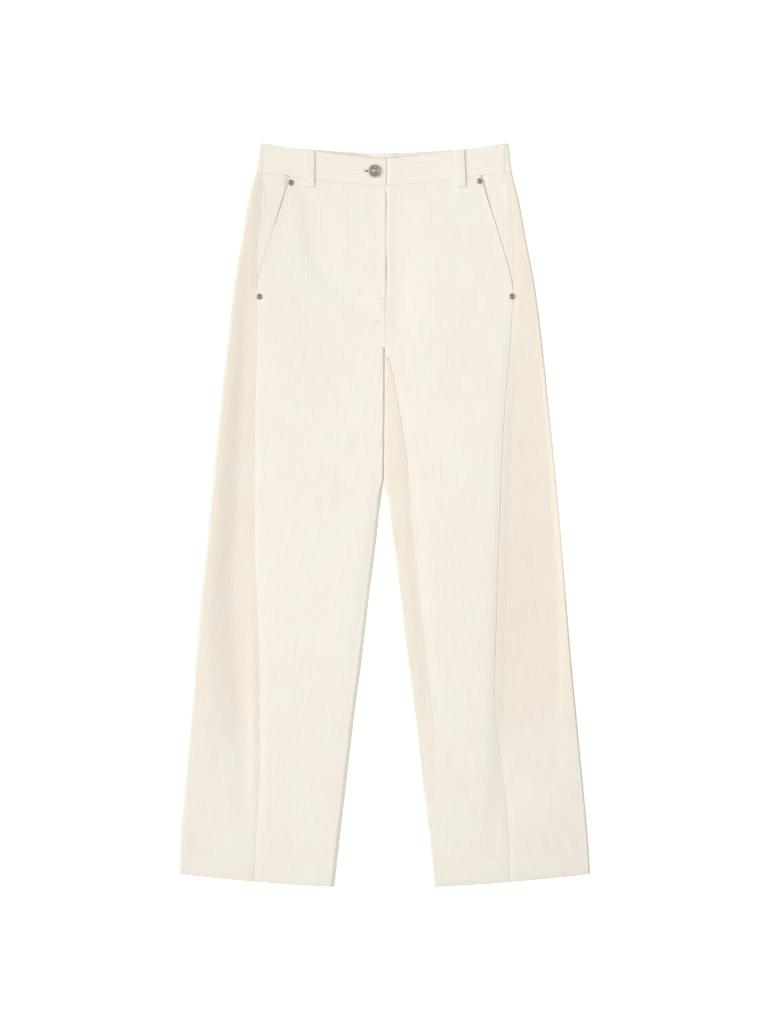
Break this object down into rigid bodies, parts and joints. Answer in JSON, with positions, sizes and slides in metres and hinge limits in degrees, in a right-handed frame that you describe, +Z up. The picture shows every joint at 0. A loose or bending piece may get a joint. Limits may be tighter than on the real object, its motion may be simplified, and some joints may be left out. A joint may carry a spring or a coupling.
{
  "type": "corduroy trousers laid flat",
  "caption": "High-waisted wide-leg corduroy trousers laid flat on their back, with slanted front pockets, belt loops and a buttoned fly.",
  "frame": {"origin": "on the surface that the trousers lie on, below the centre of their bounding box", "axes": "+Y towards the waist, +Z up out of the front of the trousers, +X towards the wearer's left leg"},
  "size_m": [0.5762, 1.0416, 0.0161],
  "materials": {
    "corduroy": "cream cotton corduroy of wide wales, with a soft cut pile",
    "zip": "woven zip tape, hidden behind the fly",
    "metal": "tumbled antique silver"
  },
  "bodies": {
    "root": {"front_right": "corduroy", "front_left": "corduroy", "back_right": "corduroy", "back_left": "corduroy", "pocket_facing_right": "corduroy", "pocket_facing_left": "corduroy", "waistband_front_right": "corduroy", "waistband_front_left": "corduroy", "waistband_back": "corduroy", "belt_loop_front_right": "corduroy", "belt_loop_front_left": "corduroy", "belt_loop_back_right": "corduroy", "belt_loop_back_centre": "corduroy", "belt_loop_back_left": "corduroy", "fly_underlap": "corduroy", "fly_zip": "zip", "button": "metal", "rivet_right_upper": "metal", "rivet_right_lower": "metal", "rivet_left_upper": "metal", "rivet_left_lower": "metal"}
  },
  "joints": []
}
